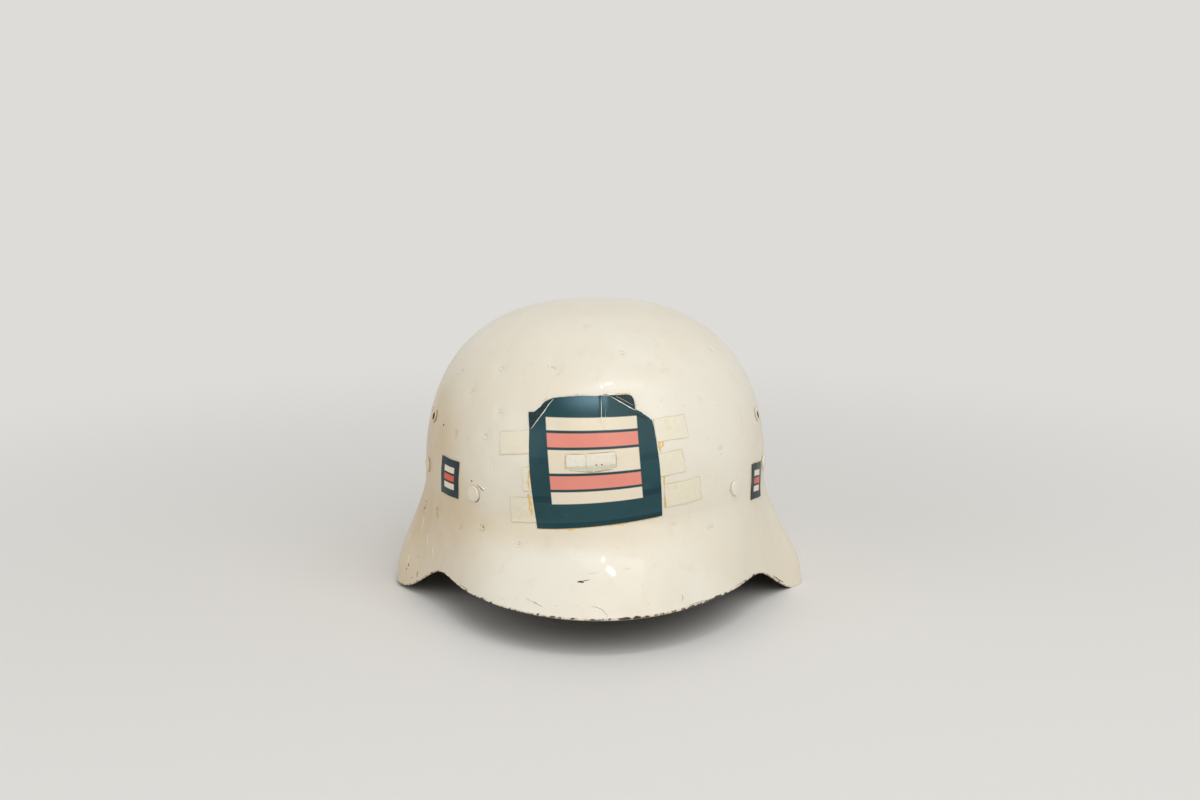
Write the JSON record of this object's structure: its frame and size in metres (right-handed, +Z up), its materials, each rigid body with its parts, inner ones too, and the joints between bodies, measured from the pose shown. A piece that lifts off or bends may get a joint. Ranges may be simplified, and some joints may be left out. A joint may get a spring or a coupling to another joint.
{
  "type": "steel helmet",
  "caption": "Steel helmet with a flared raw rim and visor, riveted leather liner, vents, front badge bracket and an open chinstrap with buckle.",
  "frame": {"origin": "centre of the footprint, on the surface that the helmet stands on", "axes": "+Z up, -Y out of the visor, +X to the wearer's left"},
  "size_m": [0.2438, 0.2994, 0.167],
  "materials": {
    "cream_paint": "aged gloss cream paint on steel",
    "zinc_steel": "dull zinc",
    "band_steel": "dull grey steel strip",
    "spring_steel": "dark spring steel",
    "strap_steel": "worn grey wire",
    "liner_leather": "tan leather",
    "lace_leather": "thin leather lace",
    "strap_leather": "dark brown strap leather",
    "sticker_film": "dark teal sticker film",
    "old_tape": "yellowed clear tape"
  },
  "bodies": {
    "helmet": {"shell": "cream_paint", "badge_bracket": "cream_paint", "vent_eyelet_left": "cream_paint", "vent_eyelet_right": "cream_paint", "rivet_front_left": "cream_paint", "rivet_front_right": "cream_paint", "rivet_side_left": "cream_paint", "rivet_side_right": "cream_paint", "rivet_rear_left": "cream_paint", "rivet_rear_right": "cream_paint", "rivet_rear": "cream_paint", "rivet_washers": "zinc_steel", "spring_front_left": "spring_steel", "spring_front_right": "spring_steel", "spring_side_left": "spring_steel", "spring_side_right": "spring_steel", "spring_rear_left": "spring_steel", "spring_rear_right": "spring_steel", "spring_rear": "spring_steel", "headband": "band_steel", "headband_rivets": "zinc_steel", "leather_liner": "liner_leather", "crown_lace": "lace_leather", "clip_rivet_left": "zinc_steel", "clip_rivet_right": "zinc_steel", "front_sticker": "sticker_film", "side_sticker_left": "sticker_film", "side_sticker_right": "sticker_film", "tape_strips": "old_tape"},
    "clip_left": {"clip_left": "strap_steel"},
    "clip_right": {"clip_right": "strap_steel"},
    "bail_left": {"bail_left": "strap_steel"},
    "bail_right": {"bail_right": "strap_steel"},
    "strap_short": {"strap_short": "strap_leather", "strap_short_rivets": "zinc_steel", "buckle_frame": "strap_steel"},
    "strap_long": {"strap_long": "strap_leather", "strap_long_rivets": "zinc_steel"},
    "keeper": {"strap_keeper": "strap_leather"},
    "prong": {"buckle_prong": "strap_steel"},
    "roller": {"buckle_roller": "strap_steel"}
  },
  "joints": [
    {"name": "clip_left_turn", "type": "hinge", "parent": "helmet", "child": "clip_left", "pos_m": [0.0928, 0.01575, 0.068], "axis": [1, 0, 0], "range_deg": [-30, 30]},
    {"name": "clip_right_turn", "type": "hinge", "parent": "helmet", "child": "clip_right", "pos_m": [-0.0928, 0.01575, 0.068], "axis": [1, 0, 0], "range_deg": [-30, 30]},
    {"name": "bail_left_swing", "type": "hinge", "parent": "clip_left", "child": "bail_left", "pos_m": [0.0928, 0.01575, 0.0525], "axis": [0, 1, 0], "range_deg": [0, 45]},
    {"name": "bail_right_swing", "type": "hinge", "parent": "clip_right", "child": "bail_right", "pos_m": [-0.0928, 0.01575, 0.0525], "axis": [0, -1, 0], "range_deg": [0, 45]},
    {"name": "strap_short_swing", "type": "hinge", "parent": "bail_left", "child": "strap_short", "pos_m": [0.0928, 0.01575, 0.0395], "axis": [0, 1, 0], "range_deg": [0, 30]},
    {"name": "strap_long_swing", "type": "hinge", "parent": "bail_right", "child": "strap_long", "pos_m": [-0.0928, 0.01575, 0.0395], "axis": [0, -1, 0], "range_deg": [0, 30]},
    {"name": "keeper_slide", "type": "slide", "parent": "strap_short", "child": "keeper", "axis": [1, 0, 0], "range_m": [-0.007, 0.007]},
    {"name": "prong_turn", "type": "hinge", "parent": "strap_short", "child": "prong", "pos_m": [0.0428, 0.01575, 0.0049], "axis": [0, 1, 0], "range_deg": [0, 110]},
    {"name": "roller_spin", "type": "hinge", "parent": "strap_short", "child": "roller", "pos_m": [0.0238, 0.01575, 0.0049], "axis": [0, 1, 0], "continuous": true}
  ]
}
